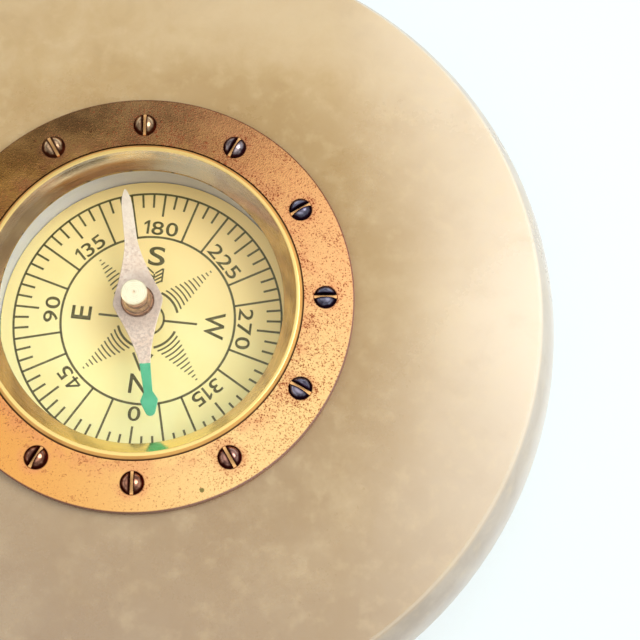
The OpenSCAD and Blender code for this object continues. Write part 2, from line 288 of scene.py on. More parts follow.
def stone_side(look, colour, mottle, grey, side):
    """A greyer side, darker toward the grey end partly as painted shade, palest where it bulges
    most as a painted reflection, and a painted highlight along the arris.
    """
    r = look.radius()
    # the side darker toward the grey end: partly the stone's own tone, partly painted shade
    shade = look.mix(grey, srgb(199, 190, 177), srgb(154, 136, 117))
    # palest where it bulges most: a painted reflection of the pale surroundings
    bulge = look.span(r, ARRIS_R + 1.2 * MM, STONE_R, 0.0, 0.75)
    shade = look.mix(bulge, shade, look.mix(grey, srgb(234, 229, 225), srgb(180, 162, 146)))
    shade = look.mix(look.span(mottle, 0.40, 0.66, 0.0, 0.14), shade, srgb(238, 232, 220))
    shade = look.mix(look.span(mottle, 0.48, 0.30, 0.0, 0.14), shade, srgb(150, 136, 116))
    colour = look.mix(look.times(side, 0.92), colour, shade)
    # a painted highlight along the arris
    arris = look.times(look.span(r, ARRIS_R - 0.3 * MM, ARRIS_R - 0.1 * MM),
                       look.span(r, ARRIS_R + 0.02 * MM, ARRIS_R + 0.2 * MM, 1.0, 0.0))
    return look.mix(look.times(arris, 0.2), colour, srgb(252, 244, 230))


def stone_wisps(look, colour, drift):
    """Faint pale and dark wisps, and pale flecks in some of the bands."""
    wisp = look.noise(130, 5, 0.62, 0.25)
    colour = look.mix(look.span(wisp, 0.46, 0.76, 0.0, 0.15), colour, srgb(240, 222, 182))
    colour = look.mix(look.span(wisp, 0.50, 0.26, 0.0, 0.14), colour, srgb(176, 148, 108))
    fleck = look.times(look.span(look.noise(420, 4, 0.6), 0.48, 0.74, 0.0, 0.16),
                       look.span(drift, 0.40, 0.55))
    return look.mix(fleck, colour, srgb(236, 216, 172))


def onyx():
    """Clouded stone that lets light in, with a few dull nicks on top and a plainer side."""
    look = Look("onyx_stone", Subsurface_Weight=0.2, Subsurface_Scale=0.003,
                Subsurface_Radius=(1.0, 0.78, 0.5), IOR=1.5)
    cloud = look.noise(20, 3, 0.5, 0.5)
    drift = look.noise(26, 2, 0.4, 0.2, look.shifted((0, 0, 0), (0.7, 2.2, 1.0)))
    mottle = look.noise(190, 5, 0.62, 0.5)
    grey = look.toward(GREY_END, -0.012, 0.046, smooth=False)
    side = look.span(look.radius(), ARRIS_R + 0.05 * MM, ARRIS_R + 0.5 * MM)
    colour = stone_clouds(look, cloud, mottle, drift)
    colour = stone_glow(look, colour, cloud, grey)
    colour = stone_side(look, colour, mottle, grey, side)
    look.set("Base Color", stone_wisps(look, colour, drift))
    fine = look.noise(900, 3, 0.6)
    on_top = look.span(side, 0.0, 1.0, 1.0, 0.0)
    nicks = look.times(look.span(look.cells(1100), 0.0, 0.13, on_top, 0.0),
                       look.span(look.noise(70, 2), 0.62, 0.72))
    rough = look.plus(look.swing(fine, 0.0, 0.02), look.swing(cloud, 0.24, 0.31))
    look.set("Roughness", look.plus(rough, look.times(nicks, 0.3)))
    look.bump((look.noise(40, 2), look.span(side, 0.0, 1.0, 0.12, 0.0), 0.0002),
              (fine, look.span(side, 0.0, 1.0, 0.06, 0.0), 0.00002))
    return look.material


def screw_place(look):
    """Where a point is from the nearest screw's axis: across its slot, and along it."""
    turn = look.maths("SUBTRACT", look.angle(PLATE), SCREW_TURN)
    turn = look.maths("WRAP", turn, SCREW_STEP / 2, -SCREW_STEP / 2)
    across = look.times(turn, SCREW_ORBIT)
    return across, look.maths("SUBTRACT", look.radius(PLATE), SCREW_ORBIT)


def near_screw(look):
    """Distance to the nearest screw's axis, on the bezel plate."""
    across, along = screw_place(look)
    return look.maths("SQRT", look.plus(look.times(across, across), look.times(along, along)))


SPECKLED = (0.92, 0.40)  # the plate's specks are thickest this way


def copper_tones(look, patch):
    """The plate's colour, deeper orange at the left as painted shade and pale at the lower right
    as a painted reflection.
    """
    colour = look.ramp(patch, (0.30, srgb(234, 168, 92)), (0.5, srgb(240, 180, 100)),
                       (0.70, srgb(245, 192, 112)))
    # pale at the lower right: a painted reflection of bright surroundings
    pale = look.toward((0.80, -0.60), -0.010, 0.022)
    colour = look.mix(look.times(pale, 0.7), colour, srgb(252, 222, 158))
    # deeper orange at the left: painted shade
    left = look.toward((-0.8, -0.6), 0.000, 0.022)
    return look.mix(look.times(left, 0.75), colour, srgb(230, 160, 80))


def copper_tarnish(look, screw):
    """Where tarnish is thick: by the bead and round the screws, broken up."""
    inner = look.span(look.radius(PLATE), BEAD_R + 0.4 * MM, BEAD_R + 3.2 * MM, 1.0, 0.0)
    worn = look.span(screw, HEAD_EDGE, 2.6 * MM, 1.0, 0.0)
    tarnish = look.larger(look.times(inner, 0.85), worn)
    return look.times(tarnish, look.span(look.noise(420, 3, 0.6), 0.3, 0.62))


def speck_level(look, grain, tarnish, speckled):
    """The grain, raised where specks are thicker and lowered where they are thinner."""
    thin = look.plus(look.swing(look.noise(330, 2), 0.02, -0.03),
                     look.span(speckled, 0.0, 1.0, 0.036, -0.008))
    thin = look.plus(look.span(tarnish, 0.0, 1.0, 0.0, -0.062), thin)
    return look.maths("SUBTRACT", grain, thin)


def copper_edges(look, colour, screw):
    """Painted shadow at the foot of each screw, and painted shade along the plate's outer edge,
    paler toward the lower right as a painted reflection.
    """
    # a painted contact shadow round each screw's foot
    foot = look.span(screw, HEAD_EDGE, FOOT_SHADOW_END, 0.85, 0.0)
    colour = look.mix(foot, colour, srgb(70, 34, 22))
    # painted shade along the outer edge, paler toward the lower right as a painted reflection
    edge = look.span(look.radius(PLATE), PLATE_R - 0.26 * MM, PLATE_R - 0.06 * MM)
    rim = look.mix(look.toward((0.95, -0.30), 0.008, 0.022), srgb(92, 50, 66),
                   srgb(152, 98, 104))
    return look.mix(look.times(edge, 0.85), colour, rim)


def green_spot(look):
    """The one green spot, ragged, near the plate's front edge."""
    centre = (PLATE.x + 10.3 * MM, PLATE.y - 21.9 * MM, PLATE_TOP)
    away = look.node("ShaderNodeVectorMath", {0: look.place, 1: centre}, operation="DISTANCE")
    ragged = look.plus(away.outputs["Value"], look.swing(look.noise(3000, 2), 0.0, 0.0001))
    return look.span(ragged, 0.26 * MM, 0.38 * MM, 1.0, 0.0)


def copper():
    """Copper with a speckled patina, darker at the screws from tarnish and a painted shadow,
    painted shade along the edge, and one green spot.
    """
    look = Look("patinated_copper", Metallic=1.0)
    patch = look.noise(170, 4, 0.6, 0.3)
    grain = look.noise(5200, 2, 0.6)
    screw = near_screw(look)
    tarnish = copper_tarnish(look, screw)
    speckled = look.toward(SPECKLED, -0.010, 0.016)
    level = speck_level(look, grain, tarnish, speckled)
    colour = look.mix(look.times(tarnish, 0.55), copper_tones(look, patch), srgb(228, 148, 108))
    haze = look.times(look.span(level, 0.53, 0.60), look.span(speckled, 0.0, 1.0, 0.18, 0.5))
    colour = look.mix(haze, colour, srgb(196, 118, 70))
    colour = look.mix(look.toward((-0.1, 1.0), 0.014, 0.026, 0.45), colour, srgb(206, 166, 132))
    colour = look.mix(look.toward((0.75, 0.66), 0.010, 0.024, 0.5), colour, srgb(255, 176, 124))
    speck = look.span(level, 0.62, 0.67)
    depth = look.span(look.toward((-0.1, -1.0), 0.006, 0.022), 0.0, 1.0, 0.9, 0.55)
    colour = look.mix(look.times(speck, depth), colour, srgb(136, 64, 34))
    blot = look.span(look.noise(1500, 3, 0.6), 0.64, 0.70)
    colour = look.mix(look.times(blot, 0.45), colour, srgb(164, 92, 58))
    spot = green_spot(look)
    colour = look.mix(spot, copper_edges(look, colour, screw), srgb(126, 114, 52))
    look.set("Base Color", colour)
    look.set("Metallic", look.span(spot, 0.0, 1.0, 1.0, 0.2))
    dull = look.larger(speck, spot)
    look.set("Roughness", look.plus(look.swing(patch, 0.14, 0.21), look.times(dull, 0.35)))
    look.bump((look.noise(700, 3), 0.2, 0.00003), (grain, 0.25, 0.00003))
    return look.material


def brass_tones(look, stain):
    """The mouth's colour, with painted reflections: duller at the right, paler at the back,
    yellower in front.
    """
    # painted reflections of what the mouth faces: duller at the right, paler at the back, yellower
    # in front
    right = look.toward((1.0, 0.2), 0.000, 0.018)
    colour = look.mix(right, srgb(204, 172, 136), srgb(184, 154, 126))
    colour = look.mix(look.toward((-0.25, 0.97), 0.012, 0.018), colour, srgb(240, 222, 194))
    colour = look.mix(look.toward((0.1, -1.0), 0.013, 0.019), colour, srgb(255, 232, 160))
    return look.mix(look.span(stain, 0.35, 0.65, 0.0, 0.3), colour, srgb(244, 220, 176))


def polished_brass():
    """The rim: its mouth, with painted shade at its foot, the land round it, the slope outside
    that, and painted shade along the bead's brim.
    """
    look = Look("polished_brass", Metallic=1.0)
    stain = look.noise(300, 4, 0.6)
    r = look.radius(PLATE)
    land = look.span(r, MOUTH_R - 0.05 * MM, MOUTH_R + 0.05 * MM)
    colour = look.mix(land, brass_tones(look, stain), srgb(255, 220, 136))
    foot_z = PLATE_TOP - THROAT_DEPTH
    # painted shade in the corner at the mouth's foot
    foot = look.span(look.parts(look.place)[2], foot_z - 0.02 * MM, foot_z + 0.05 * MM, 0.85, 0.0)
    colour = look.mix(foot, colour, srgb(132, 108, 80))
    slope = look.span(r, SLOPE_R - 0.03 * MM, SLOPE_R + 0.03 * MM)
    colour = look.mix(slope, colour, srgb(238, 184, 104))
    # painted shade along the bead's brim, where it meets the plate
    brim = look.span(r, BEAD_R - 0.16 * MM, BEAD_R - 0.06 * MM, 0.0, 0.9)
    colour = look.mix(brim, colour, srgb(84, 54, 30))
    pit = look.times(look.span(look.cells(9000), 0.0, 0.12, 1.0, 0.0),
                     look.span(look.noise(500, 2), 0.58, 0.70))
    look.set("Base Color", look.mix(look.times(pit, 0.6), colour, srgb(112, 78, 44)))
    look.set("Metallic", look.span(land, 0.0, 1.0, 1.0, 0.5, smooth=False))
    rings = look.turned(5200)
    rough = look.plus(look.swing(stain, 0.07, 0.13), look.span(rings, 0.45, 0.75, 0.0, 0.05))
    duller = look.plus(look.times(land, 0.12), look.times(slope, 0.25))
    look.set("Roughness", look.plus(rough, duller))
    look.bump((rings, 0.04, 0.00001), (look.noise(240, 3), 0.06, 0.00003))
    return look.material


def case_brass():
    """Plain turned brass, for what is hidden inside."""
    look = Look("case_brass", Metallic=1.0)
    stain = look.noise(160, 4, 0.6)
    look.set("Base Color", look.ramp(stain, (0.3, srgb(184, 148, 88)), (0.7, srgb(226, 192, 124))))
    rings = look.turned(2600)
    look.set("Roughness", look.swing(rings, 0.28, 0.45))
    look.bump((rings, 0.2, 0.00003))
    return look.material


def screw_tones(look, crown):
    """Painted shade on the dark sides and a painted highlight on the bright crowns, bluer on the
    right as a painted sky reflection, and brassier at the back.
    """
    back = look.toward((-0.35, 0.94), -0.008, 0.020)
    right = look.toward((0.97, 0.25), 0.004, 0.020)
    # the dark sides: painted shade, darker and bluer on the right
    low = look.mix(right, look.mix(back, srgb(58, 24, 18), srgb(66, 36, 24)), srgb(30, 18, 38))
    # the bright crowns: a painted highlight, bluer on the right as a painted sky reflection
    high = look.mix(right, look.mix(back, srgb(214, 152, 124), srgb(234, 196, 156)),
                    srgb(164, 164, 188))
    return look.mix(crown, low, high)


def bronze_screw():
    """Browned heads, darkened further at the sides as painted shade, with a painted highlight on
    each half of the crown broken into glints, and a brassy slot floor painted as lit.
    """
    look = Look("bronze_screw", Metallic=1.0, Specular_Tint=(0.4, 0.32, 0.34, 1.0))
    film = look.noise(1100, 3, 0.6)
    z = look.parts(look.place)[2]
    height = look.plus(z, look.swing(film, -0.00012, 0.00012))
    crown = look.span(height, PLATE_TOP + 0.40 * SCREW_H, PLATE_TOP + 0.85 * SCREW_H)
    beside = look.maths("ABSOLUTE", screw_place(look)[0])
    # darker beside the slot: painted shade
    crown = look.times(crown, look.span(beside, 0.30 * MM, 0.55 * MM))
    # the highlight broken into painted glints
    crown = look.times(crown, look.span(look.noise(1000, 2), 0.36, 0.60, 0.35, 1.0))
    floor_z = PLATE_TOP + SLOT_FLOOR
    # the slot floor painted bright brass, as lit from above
    lit_slot_floor = look.times(look.span(z, floor_z + 0.03 * MM, floor_z + 0.1 * MM, 1.0, 0.0),
                         look.span(beside, 0.14 * MM, 0.22 * MM, 1.0, 0.0))
    look.set("Base Color", look.mix(lit_slot_floor, screw_tones(look, crown), srgb(252, 196, 130)))
    rough = look.swing(film, 0.12, 0.24)
    look.set("Roughness", look.plus(rough, look.span(crown, 0.0, 0.5, 0.25, 0.0)))
    look.bump((look.noise(1800, 3), 0.2, 0.00003), (look.noise(6000, 2), 0.1, 0.00001))
    return look.material


def clear_glass():
    """Glass that bends nothing, so that it shows only by its coat's reflections."""
    look = Look("clear_glass", Transmission_Weight=1.0, IOR=1.001, Alpha=0.3,
                Base_Color=(1.0, 1.0, 1.0, 1.0), Coat_Weight=1.0, Coat_IOR=1.5,
                Roughness=0.0)
    smear = look.noise(90, 4, 0.6, 0.5)
    look.set("Coat Roughness", look.span(smear, 0.5, 0.8, 0.0, 0.06))
    return look.material


def white_metal():
    """The capsule's pale wall, browner at the back with painted shade and a painted reflection of
    the dial.
    """
    look = Look("white_metal", Metallic=0.18)
    stain = look.noise(220, 4, 0.6)
    colour = look.ramp(stain, (0.3, srgb(220, 228, 255)), (0.7, srgb(236, 243, 255)))
    # browner at the back: painted shade and reflected dial colour
    look.set("Base Color", look.mix(look.toward((0.5, 0.86), 0.004, 0.018, 0.55), colour,
                                    srgb(178, 164, 138)))
    rings = look.turned(2400)
    look.set("Roughness", look.swing(rings, 0.30, 0.44))
    look.bump((rings, 0.15, 0.00002))
    return look.material


def dial_paper():
    """Cream card: painted shade round its edge toward the back, and warmer painted shade at the
    back and by the hub.
    """
    look = Look("dial_paper", IOR=1.45)
    stain = look.noise(110, 4, 0.55, 0.4)
    fibre = look.noise(3800, 3, 0.6)
    colour = look.ramp(stain, (0.30, srgb(254, 240, 162)), (0.5, srgb(255, 247, 174)),
                       (0.72, srgb(255, 252, 186)))
    colour = look.mix(look.span(fibre, 0.35, 0.7, 0.0, 0.10), colour, srgb(232, 216, 150))
    r = look.radius(DIAL)
    # painted shade round the edge, toward the back
    edge_shade = look.times(look.span(r, 0.93 * DIAL_R, DIAL_R, 0.0, 0.75),
                      look.swing(look.noise(240, 3), 0.7, 1.0))
    edge_shade = look.times(edge_shade, look.toward((0.70, 0.71), -0.014, 0.008))
    colour = look.mix(edge_shade, colour, srgb(196, 158, 100))
    # deeper painted shade by the far wall
    far = look.times(look.span(r, 0.93 * DIAL_R, 0.97 * DIAL_R),
                     look.toward((0.2, 0.98), 0.006, 0.016, 0.5))
    colour = look.mix(far, colour, srgb(150, 126, 82))
    # warmer toward the back: painted shade, warmed as by the brass round it
    colour = look.mix(look.toward((0.5, 0.86), -0.004, 0.016), colour, srgb(250, 222, 150))
    # warmer toward the back left: painted shade
    colour = look.mix(look.toward((-0.5, 0.86), -0.002, 0.014, 0.5), colour, srgb(255, 226, 150))
    # a warm tint where the needle's shadow falls left of the hub: painted shade
    hub = look.radius(PIVOT - Vector((3.0 * MM, 1.0 * MM, 0)))
    warm = look.span(hub, 2.0 * MM, 7.5 * MM, 0.6, 0.0)
    look.set("Base Color", look.mix(warm, colour, srgb(255, 224, 146)))
    look.set("Roughness", look.swing(fibre, 0.42, 0.6))
    look.bump((fibre, 0.12, 0.00002))
    return look.material


def dial_ink():
    """Olive-black print, thin in places."""
    look = Look("dial_ink", IOR=1.45)
    thin = look.noise(2600, 3, 0.6)
    look.set("Base Color", look.ramp(thin, (0.35, srgb(86, 80, 34)), (0.6, srgb(102, 96, 50)),
                                     (0.8, srgb(128, 120, 70))))
    look.set("Roughness", look.swing(thin, 0.4, 0.6))
    look.bump((thin, 0.1, 0.00001))
    return look.material


def along_needle(look):
    """Distance along the north arm, from the pivot."""
    x, y, _ = look.parts(look.shifted(PIVOT))
    return look.plus(look.times(x, math.sin(NEEDLE_TURN)), look.times(y, -math.cos(NEEDLE_TURN)))


def bare_needle(look, grain, northern):
    """The bare metal: greyer at the hub, paler to the south, pitted to the north."""
    cloud = look.noise(420, 3, 0.6)
    metal = look.ramp(grain, (0.30, srgb(206, 182, 162)), (0.43, srgb(240, 220, 200)),
                      (0.55, srgb(255, 240, 220)), (0.72, srgb(255, 248, 236)))
    metal = look.mix(look.span(cloud, 0.35, 0.7, 0.0, 0.4), metal, srgb(240, 212, 184))
    hub = look.times(look.span(look.radius(PIVOT), 2.2 * MM, 5.0 * MM, 0.6, 0.0),
                     look.span(cloud, 0.3, 0.6, 0.75, 1.2))
    metal = look.mix(hub, metal, srgb(178, 162, 152))
    metal = look.mix(look.times(northern, 0.4), metal, srgb(222, 202, 186))
    southern = look.span(along_needle(look), -12.0 * MM, -5.0 * MM, 0.6, 0.0)
    metal = look.mix(southern, metal, srgb(255, 246, 226))
    pitted = look.span(look.noise(2400, 5, 0.7), 0.58, 0.38, 0.0, 0.5)
    return look.mix(look.times(northern, pitted), metal, srgb(172, 152, 138))


def needle_edges(look, colour, paint):
    """The rounded edges: painted shade on those facing one side and a painted highlight on those
    facing the other, bare or in green paint.
    """
    facing = look.parts(look.node("ShaderNodeTexCoord").outputs["Normal"])
    # edges facing +x get a painted highlight, the others painted shade
    lit = look.span(facing[0], -0.1, 0.1)
    bare = look.mix(lit, srgb(116, 100, 88), srgb(255, 252, 244))
    painted = look.mix(lit, srgb(24, 116, 80), srgb(150, 226, 190))
    edge = look.span(facing[2], 0.50, 0.92, 0.8, 0.0)
    return look.mix(edge, colour, look.mix(paint, bare, painted))


def needle_steel():
    """Bare, stained metal, with green paint on the end of the north arm."""
    look = Look("needle_steel")
    grain = look.noise(2600, 4, 0.7)
    northern = look.span(along_needle(look), -4.0 * MM, 1.0 * MM, 0.15, 1.0)
    ragged = look.plus(along_needle(look), look.swing(look.noise(900, 2), -0.00012, 0.00012))
    paint = look.span(ragged, PAINT_START, PAINT_FULL)
    green = look.ramp(look.noise(700, 3), (0.3, srgb(56, 168, 120)), (0.7, srgb(90, 194, 148)))
    colour = look.mix(paint, bare_needle(look, grain, northern), green)
    look.set("Base Color", needle_edges(look, colour, paint))
    look.set("Metallic", look.span(paint, 0.0, 1.0, 0.5, 0.0, smooth=False))
    rough = look.times(look.swing(grain, 0.32, 0.5), look.span(paint, 0, 1, 1.0, 0.0))
    look.set("Roughness", look.plus(rough, look.times(paint, 0.28)))
    coarse = look.times(grain, look.span(paint, 0.0, 1.0, 1.0, 0.25))
    look.bump((look.noise(500, 2), 0.2, 0.00004), (coarse, 0.35, 0.00003))
    return look.material


def cap_brass():
    """A turned cap: a pale face, a bright lip and darker grooves below it."""
    look = Look("cap_brass")
    stain = look.noise(800, 3, 0.6)
    side = look.ramp(stain, (0.3, srgb(188, 150, 118)), (0.7, srgb(226, 184, 144)))
    z = look.parts(look.place)[2]
    face = look.span(z, CAP_TOP - 0.25 * MM, CAP_TOP - 0.12 * MM)
    lip = look.span(z, CAP_TOP - 0.75 * MM, CAP_TOP - 0.45 * MM)
    side = look.mix(lip, side, srgb(246, 206, 150))
    groove = look.span(look.noise(2600, 1, at=look.joined(0.0, 0.0, z)), 0.52, 0.44, 0.0, 0.7)
    side = look.mix(groove, side, srgb(84, 64, 52))
    colour = look.mix(face, side, srgb(255, 248, 214))
    dot = look.span(look.radius(PIVOT), 0.05 * MM, 0.28 * MM, 0.5, 0.0)
    colour = look.mix(dot, colour, srgb(196, 140, 96))
    look.set("Base Color", colour)
    look.set("Metallic", look.span(face, 0.0, 1.0, 0.6, 0.35, smooth=False))
    rings = look.turned(9000, PIVOT)
    look.set("Roughness", look.plus(look.swing(stain, 0.16, 0.26),
                                    look.span(rings, 0.4, 0.7, 0.0, 0.1)))
    look.bump((rings, 0.25, 0.00002))
    return look.material


def collar_copper():
    """The collar under the cap: bright, with painted shade at its inner and outer edge."""
    look = Look("collar_copper", Metallic=0.55)
    stain = look.noise(1100, 3, 0.6)
    colour = look.ramp(stain, (0.3, srgb(216, 160, 120)), (0.7, srgb(240, 190, 152)))
    r = look.radius(PIVOT)
    # painted shade at the inner and outer edge
    inner = look.span(r, 1.45 * MM, 1.62 * MM, 0.8, 0.0)
    rim = look.span(r, COLLAR_R - 0.28 * MM, COLLAR_R - 0.1 * MM, 0.0, 0.85)
    colour = look.mix(look.larger(inner, rim), colour, srgb(86, 56, 38))
    look.set("Base Color", colour)
    look.set("Roughness", look.swing(stain, 0.22, 0.36))
    look.bump((look.turned(7000, PIVOT), 0.25, 0.00002))
    return look.material


def jewel():
    look = Look("jewel", IOR=1.76, Transmission_Weight=0.3)
    cloud = look.noise(1600, 3)
    look.set("Base Color", look.ramp(cloud, (0.3, srgb(150, 30, 40)), (0.7, srgb(190, 52, 58))))
    look.set("Roughness", look.swing(cloud, 0.08, 0.2))
    return look.material


def grey_steel(name, low, high):
    look = Look(name, Metallic=1.0)
    stain = look.noise(900, 3, 0.6)
    look.set("Base Color", look.ramp(stain, (0.3, low), (0.7, high)))
    look.set("Roughness", look.swing(stain, 0.22, 0.38))
    look.bump((look.turned(7000, PIVOT), 0.2, 0.00002))
    return look.material


def felt():
    look = Look("green_felt", Sheen_Weight=0.5, Sheen_Roughness=0.5)
    tuft = look.noise(2200, 5, 0.7, 0.8)
    worn = look.noise(70, 3)
    colour = look.ramp(tuft, (0.3, srgb(26, 58, 40)), (0.7, srgb(54, 96, 68)))
    look.set("Base Color", look.mix(look.span(worn, 0.4, 0.7, 0.0, 0.35), colour,
                                    srgb(72, 104, 76)))
    look.set("Roughness", look.swing(tuft, 0.85, 1.0))
    look.bump((look.noise(500, 3), 0.3, 0.0002), (tuft, 0.7, 0.00015))
    return look.material


def soft_fill(name, low, high, scale, rough):
    """Cement, rubber and cork: two tones in grains of one size."""
    look = Look(name)
    grains = look.cells(scale)
    tone = look.times(look.span(grains, 0.0, 0.6), look.noise(scale / 3, 3))
    look.set("Base Color", look.ramp(tone, (0.15, low), (0.6, high)))
    look.set("Roughness", look.span(tone, 0.2, 0.6, rough - 0.1, rough + 0.05))
    look.bump((grains, 0.4, 0.3 / scale))
    return look.material


# ---- pieces ---------------------------------------------------------------------------------

SHARP = math.radians(32)  # an edge that turns more than this is sharp
FLAT = math.radians(0.5)  # and faces that turn less than this are one face
ROUND_STEPS = 3


def new_object(name, mesh):
    made = bpy.data.objects.new(name, mesh)
    bpy.context.scene.collection.objects.link(made)
    return made


def dress(node, material):
    """A CAD node keeps its shape and takes this material."""
    mesh = frame["nodes"][node].data
    mesh.materials.clear()
    mesh.materials.append(material)


def marked_copy(node, above):
    """A copy of a CAD node's mesh, with its sharp edges above a level marked for rounding."""
    bm = bmesh.new()
    bm.from_mesh(frame["nodes"][node].data)
    bmesh.ops.remove_doubles(bm, verts=bm.verts, dist=1e-7)
    bmesh.ops.dissolve_limit(bm, angle_limit=FLAT, verts=bm.verts, edges=bm.edges)
    weight = bm.edges.layers.float.new("bevel_weight_edge")
    for edge in bm.edges:
        sharp = edge.is_manifold and edge.calc_face_angle() > SHARP
        high = min(v.co.z for v in edge.verts) > above
        edge[weight] = 1.0 if sharp and high else 0.0
    mesh = bpy.data.meshes.new(node + "_soft")
    bm.to_mesh(mesh)
    bm.free()
    mesh.materials.clear()
    return mesh


def softened(node, material, bevel, body, above=-1.0):
    """A copy of a CAD node with its sharp edges above a level rounded, which stands for it."""
    mesh = marked_copy(node, above)
    mesh.materials.append(material)
    mesh.shade_smooth()
    mesh.set_sharp_from_angle(angle=SHARP)
    made = new_object(node + "_soft", mesh)
    rounded = made.modifiers.new("rounded", "BEVEL")
    rounded.width = bevel
    rounded.segments = ROUND_STEPS
    rounded.limit_method = "WEIGHT"
    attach(made, body)
    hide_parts(node)


# ---- the print on the dial ------------------------------------------------------------------

# all in mm from the dial's centre, and widths of lines in mm
RING_IN = 10.87
RING_OUT = 16.71
TICK_SHORT = 14.85
TICK_MEDIUM = 13.7
LINE = 0.29
TICK = 0.27
STAR_FIRST = 3.76
STAR_STEP = 0.56
STAR_ARCS = 12
STAR_HALF = 1.72  # half the length of the first arc
STAR_BOLD = 0.30  # the first arc's width; the others go from the next value to less
STAR_LINE = 0.21
STAR_TAPER = 0.06
HUB_RING = 2.0
AXIS_END = 6.2
THIN = 0.2
ARROW_TAIL = 6.0
ARROW_TIP = 6.4
BARB_HALF = 1.2
BARB_BACK = 4.45
BARB_TIP = 6.65
BARB = 0.3
TAIL_HALF = 1.05
TAIL_START = 5.0
TAIL_END = 6.8
FEATHER_ROOT = 0.1
FEATHER_OUT = 1.0
FEATHERS = ((4.6, 5.15), (5.1, 5.7), (5.55, 6.2), (6.05, 6.75))  # each one's root and end

NUMBER_R = 12.1
NUMBER_SIZE = 2.55
NUMBER_STRETCH = 1.32
NUMBER_WEIGHT = 0.022
LETTER_R = 8.35
LETTER_SIZE = 3.5
LETTER_WEIGHT = 0.04
LETTERS = ((0, "N", 1.0), (90, "E", 1.2), (180, "S", 1.46), (270, "W", 0.92))  # and their stretch
INK_LIFT = 0.012 * MM
INK_THICK = 0.02 * MM


def flat_face(bm, points, centre=DIAL, unit=MM):
    """One face, of points that are in mm from the dial's centre unless it is said otherwise."""
    corners = [bm.verts.new((centre.x + x * unit, centre.y + y * unit, 0)) for x, y in points]
    bm.faces.new(corners)


def band(bm, r0, r1, start=0.0, end=TURN, steps=180):
    """Part of a ring, or all of it."""
    def at(r, turn):
        return (r * math.cos(turn), r * math.sin(turn))
    for i in range(steps):
        a = start + (end - start) * i / steps
        b = start + (end - start) * (i + 1) / steps
        flat_face(bm, [at(r0, a), at(r0, b), at(r1, b), at(r1, a)][::-1])


def ring(bm, r, width):
    band(bm, r - width / 2, r + width / 2)


def stroke(bm, x0, y0, x1, y1, width, centre=DIAL, unit=MM):
    """A straight line of this width between two points."""
    run = Vector((x1 - x0, y1 - y0)).normalized() * width / 2
    side = Vector((-run.y, run.x))
    flat_face(bm, [(x0 - side.x, y0 - side.y), (x1 - side.x, y1 - side.y),
                   (x1 + side.x, y1 + side.y), (x0 + side.x, y0 + side.y)], centre, unit)


def bearing(b):
    """The direction of a bearing: 0 is toward -Y, and they run clockwise from above."""
    turn = math.radians(-90 - b)
    return math.cos(turn), math.sin(turn)


def ticks(bm):
    for b in range(0, 360, 5):
        x, y = bearing(b)
        inner = TICK_SHORT
        if b % 45 == 0:
            inner = TICK_MEDIUM
        elif b % 15 == 0:
            inner = RING_IN
        stroke(bm, x * inner, y * inner, x * RING_OUT, y * RING_OUT, TICK)


def star(bm):
    """Four points of the rose, each of arcs that shorten outward."""
    for quarter in range(4):
        mid = math.radians(45 + 90 * quarter)
        for i in range(STAR_ARCS):
            r = STAR_FIRST + STAR_STEP * i
            half = STAR_HALF * (1 - i / STAR_ARCS)
            width = STAR_BOLD if i == 0 else STAR_LINE - STAR_TAPER * i / STAR_ARCS
            reach = half / r
            band(bm, r - width / 2, r + width / 2, mid - reach, mid + reach, 16)


def arrow(bm):
    """The line from E to W, and the arrow from S to N with its head and feathers."""
    stroke(bm, -AXIS_END, 0, -HUB_RING, 0, LINE)
    stroke(bm, HUB_RING, 0, AXIS_END, 0, LINE)
    ring(bm, HUB_RING, TICK)
    stroke(bm, 0, HUB_RING, 0, ARROW_TAIL, THIN)
    stroke(bm, 0, -HUB_RING, 0, -ARROW_TIP, THIN)
    for side in (-1, 1):
        stroke(bm, side * BARB_HALF, -BARB_BACK, 0, -BARB_TIP, BARB)
        stroke(bm, side * TAIL_HALF, TAIL_START, side * TAIL_HALF, TAIL_END, THIN)
        for root, end in FEATHERS:
            stroke(bm, side * FEATHER_ROOT, root, side * FEATHER_OUT, end, THIN)


# an open 4 as three strokes (two ends and a width), and a 1 as one outline, in mm
FOUR = [(0.0, 0.42, 1.5, 0.42, 0.25), (0.08, 0.5, 0.98, 1.72, 0.26), (1.02, 0.0, 1.02, 1.83, 0.28)]
ONE = [(0, 0), (0.3, 0), (0.3, 1.83), (0.07, 1.83), (-0.4, 1.46), (-0.4, 1.17), (0, 1.4)]
LETTER_GAP = 0.3


def font_letter(flat, letter, size, stretch, weight):
    """Adds a letter of Blender's own font to a flat mesh."""
    curve = bpy.data.curves.new("letter", "FONT")
    curve.body = letter
    curve.size = size
    curve.offset = weight
    curve.resolution_u = 6
    helper = new_object("letter", curve)
    bpy.context.view_layer.update()
    seen = helper.evaluated_get(bpy.context.evaluated_depsgraph_get())
    mesh = bpy.data.meshes.new_from_object(seen)
    flat.from_mesh(mesh)
    for vertex in flat.verts:
        vertex.co.x *= stretch
    bpy.data.objects.remove(helper)
    bpy.data.meshes.remove(mesh)
    bpy.data.curves.remove(curve)


def outline_of(letter, size, stretch, weight):
    """One letter as a flat mesh in mm, its foot at 0. The 1 and the 4 are drawn here."""
    flat = bmesh.new()
    if letter == "1":
        flat.faces.new([flat.verts.new((x, y, 0)) for x, y in ONE])
    elif letter == "4":
        for x0, y0, x1, y1, width in FOUR:
            stroke(flat, x0, y0, x1, y1, width, Vector((0, 0)), 1.0)
    else:
        font_letter(flat, letter, size, stretch, weight)
    return flat


